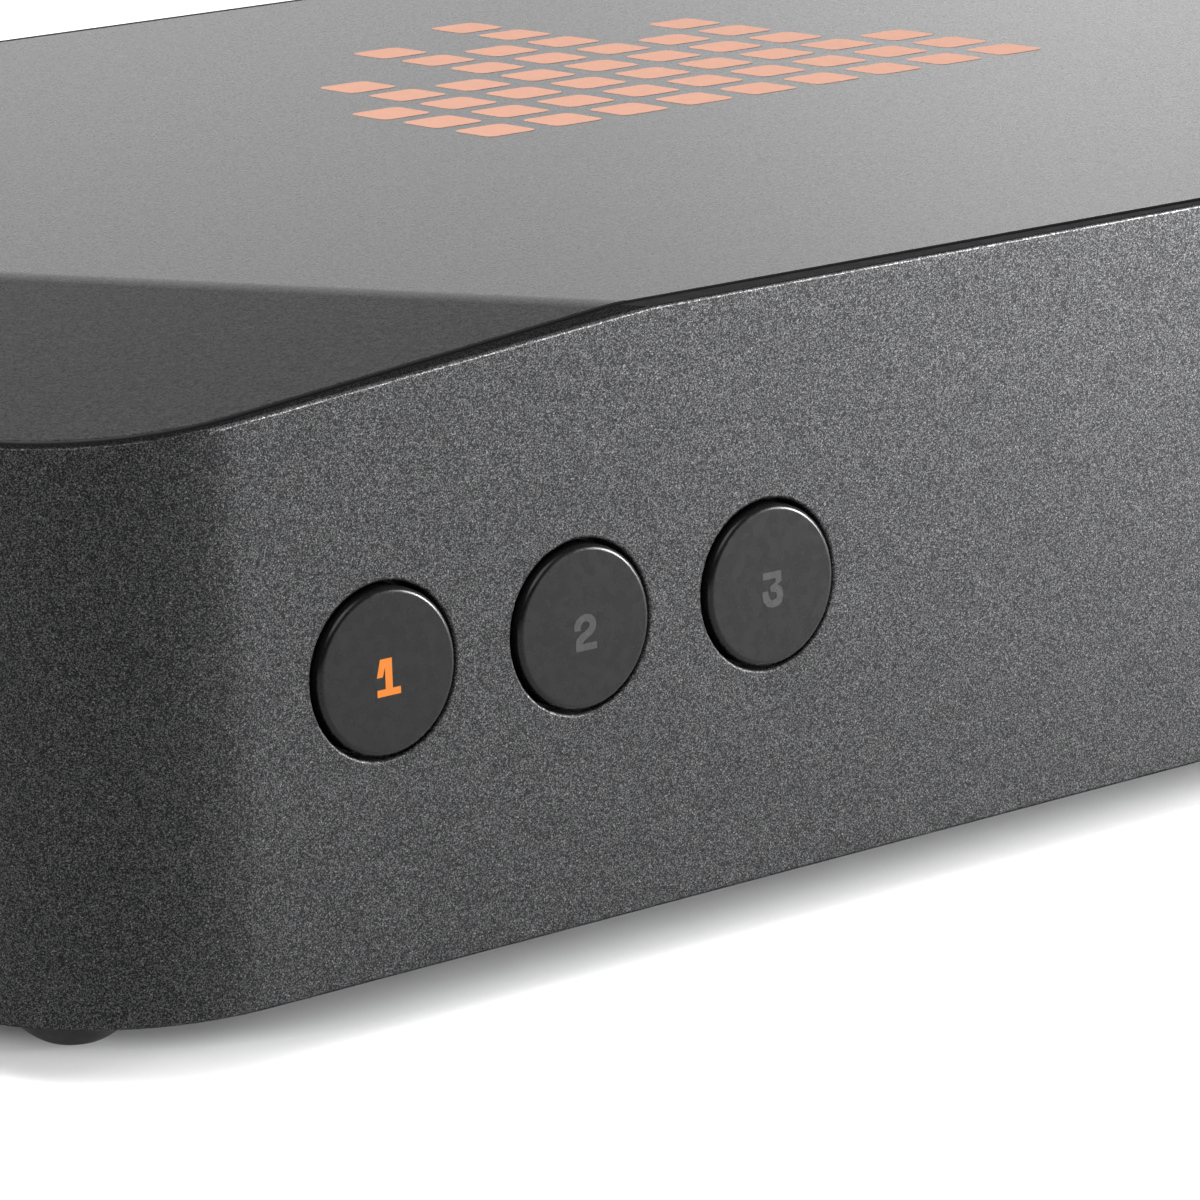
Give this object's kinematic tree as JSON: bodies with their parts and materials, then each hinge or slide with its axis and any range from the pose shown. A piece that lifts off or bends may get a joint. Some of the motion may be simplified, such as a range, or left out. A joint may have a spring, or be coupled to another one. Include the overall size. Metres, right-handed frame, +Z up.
{
  "type": "room correction processor",
  "caption": "Low desktop audio processor: faceted rounded box with lit push buttons on the front, and audio, data and power sockets with a rocker switch on a recessed rear panel.",
  "frame": {"origin": "on the table under the middle of the box", "axes": "+X to the right seen from the front, -Y out of the front face, +Z up"},
  "size_m": [0.226, 0.1374, 0.0441],
  "materials": {
    "casing_paint": "dark grey metallic paint with a fine bright flake",
    "panel_satin": "smooth satin dark grey",
    "sheet_black": "matt black powder coat",
    "foot_rubber": "matt black",
    "screw_black": "black oxide",
    "screw_plain": "plain zinc",
    "pillar_brass": "plain turned",
    "button_gloss": "smooth dark grey",
    "guide_clear": "milky clear",
    "plunger_red": "plain moulded",
    "switch_black": "plain moulded",
    "guide_black": "plain moulded",
    "board_laminate": "green solder mask on glass laminate",
    "led_lens": "clear lens",
    "ribbon_white": "plain film",
    "chip_black": "moulded epoxy",
    "relay_white": "plain moulded",
    "capacitor_can": "dark sleeve on a can",
    "ferrite": "pressed ferrite",
    "socket_black": "fine moulded grain",
    "contact_gold": "plated",
    "pin_silver": "plated",
    "latch_steel": "brushed",
    "rocker_gloss": "smooth black"
  },
  "bodies": {
    "casing": {"body_shell": "casing_paint", "top_panel": "panel_satin", "base_plate": "sheet_black", "rear_panel": "sheet_black", "lid_pillars": "pillar_brass", "base_screws": "screw_black", "foot_front_left": "foot_rubber", "foot_front_right": "foot_rubber", "foot_rear_left": "foot_rubber", "foot_rear_right": "foot_rubber", "tact_switch_1": "switch_black", "tact_switch_2": "switch_black", "tact_switch_3": "switch_black", "button_guide": "guide_black", "button_board": "board_laminate", "button_board_screws": "screw_plain", "button_leds": "led_lens", "ribbon_cable": "ribbon_white", "ribbon_sockets": "ribbon_white", "main_board": "board_laminate", "board_standoffs": "pillar_brass", "board_screws": "screw_plain", "signal_chip": "chip_black", "converter_chips": "chip_black", "bypass_relays": "relay_white", "filter_capacitors": "capacitor_can", "power_inductor": "ferrite", "input_housing_left": "socket_black", "input_housing_right": "socket_black", "input_insert_left": "socket_black", "input_insert_right": "socket_black", "input_contacts_left": "contact_gold", "input_contacts_right": "contact_gold", "output_housing_left": "socket_black", "output_housing_right": "socket_black", "output_pins_left": "pin_silver", "output_pins_right": "pin_silver", "socket_screws": "screw_black", "rear_panel_screws": "screw_black", "usb_shell": "latch_steel", "usb_tongue": "socket_black", "dc_jack": "socket_black", "dc_pin": "pin_silver", "switch_housing": "switch_black", "switch_terminals": "contact_gold"},
    "button_1": {"button_cap_1": "button_gloss", "light_guide_1": "guide_clear", "switch_plunger_1": "plunger_red"},
    "button_2": {"button_cap_2": "button_gloss", "light_guide_2": "guide_clear", "switch_plunger_2": "plunger_red"},
    "button_3": {"button_cap_3": "button_gloss", "light_guide_3": "guide_clear", "switch_plunger_3": "plunger_red"},
    "rocker": {"power_rocker": "rocker_gloss"},
    "latch_left": {"input_latch_left": "latch_steel"},
    "latch_right": {"input_latch_right": "latch_steel"}
  },
  "joints": [
    {"name": "button_1_press", "type": "slide", "parent": "casing", "child": "button_1", "axis": [0, 1, 0], "range_m": [0, 0.0005], "stiffness_N_per_m": 800, "springref_m": -0.001},
    {"name": "button_2_press", "type": "slide", "parent": "casing", "child": "button_2", "axis": [0, 1, 0], "range_m": [0, 0.0005], "stiffness_N_per_m": 800, "springref_m": -0.001},
    {"name": "button_3_press", "type": "slide", "parent": "casing", "child": "button_3", "axis": [0, 1, 0], "range_m": [0, 0.0005], "stiffness_N_per_m": 800, "springref_m": -0.001},
    {"name": "rocker_tilt", "type": "hinge", "parent": "casing", "child": "rocker", "pos_m": [0.0814, 0.06452, 0.024], "axis": [-1, 0, 0], "range_deg": [0, 18]},
    {"name": "latch_left_press", "type": "slide", "parent": "casing", "child": "latch_left", "axis": [0, -1, 0], "range_m": [0, 0.002], "stiffness_N_per_m": 500, "springref_m": -0.001},
    {"name": "latch_right_press", "type": "slide", "parent": "casing", "child": "latch_right", "axis": [0, -1, 0], "range_m": [0, 0.002], "stiffness_N_per_m": 500, "springref_m": -0.001}
  ]
}
